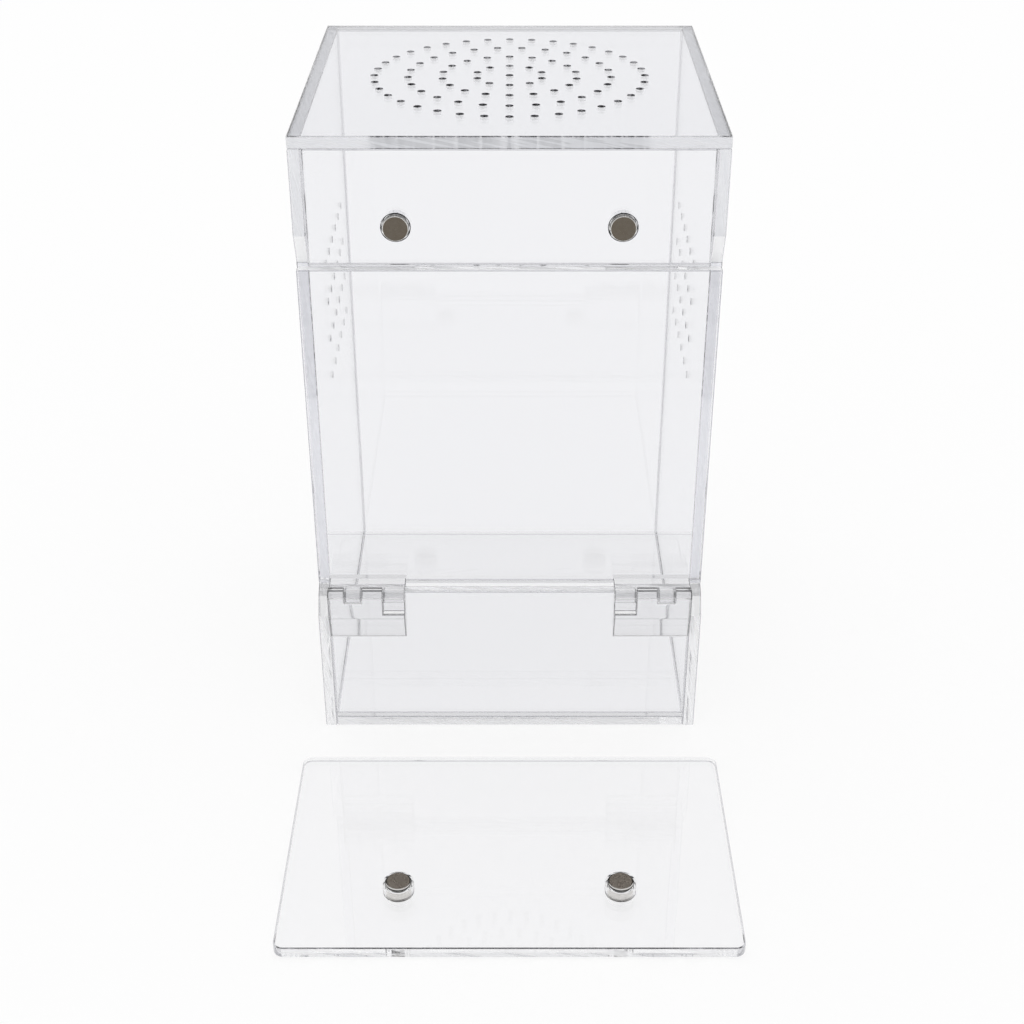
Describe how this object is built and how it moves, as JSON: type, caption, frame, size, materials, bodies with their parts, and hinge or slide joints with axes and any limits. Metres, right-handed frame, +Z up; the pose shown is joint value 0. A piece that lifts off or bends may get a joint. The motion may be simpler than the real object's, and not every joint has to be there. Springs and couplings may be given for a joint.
{
  "type": "jumping spider enclosure",
  "caption": "Clear acrylic enclosure for a jumping spider, with a ring-vented top, vented sides, a hinged front door and a loose magnetic cover.",
  "frame": {"origin": "centre of the enclosure's footprint, on its underside", "axes": "+Z up, +Y towards the back panel, +X to the right as seen from the front; the loose cover lies in front, towards -Y"},
  "size_m": [0.108, 0.1845, 0.163],
  "materials": {
    "clear_acrylic": "polished clear",
    "clear_hinge_plastic": "moulded clear",
    "clear_ring": "turned clear",
    "hinge_pin": "extruded clear rod",
    "magnet": "nickel plated"
  },
  "bodies": {
    "enclosure": {"base_panel": "clear_acrylic", "back_panel": "clear_acrylic", "left_side_panel": "clear_acrylic", "right_side_panel": "clear_acrylic", "lower_front_panel": "clear_acrylic", "upper_front_panel": "clear_acrylic", "top_vent_panel": "clear_acrylic", "left_frame_magnet": "magnet", "right_frame_magnet": "magnet", "left_frame_magnet_sleeve": "clear_ring", "right_frame_magnet_sleeve": "clear_ring", "left_hinge_bracket": "clear_hinge_plastic", "right_hinge_bracket": "clear_hinge_plastic", "left_hinge_pin": "hinge_pin", "right_hinge_pin": "hinge_pin"},
    "front_door": {"front_door_panel": "clear_acrylic", "left_hinge_strap": "clear_hinge_plastic", "right_hinge_strap": "clear_hinge_plastic"},
    "magnetic_cover": {"cover_panel": "clear_acrylic", "left_cover_magnet": "magnet", "right_cover_magnet": "magnet", "left_cover_collar": "clear_ring", "right_cover_collar": "clear_ring"}
  },
  "joints": [
    {"name": "front_door_hinge", "type": "hinge", "parent": "enclosure", "child": "front_door", "pos_m": [0, -0.0523, 0.0442], "axis": [1, 0, 0], "range_deg": [0, 110]},
    {"name": "cover_lift", "type": "slide", "parent": "enclosure", "child": "magnetic_cover", "axis": [0, 0, 1], "range_m": [0, 0.06]}
  ]
}
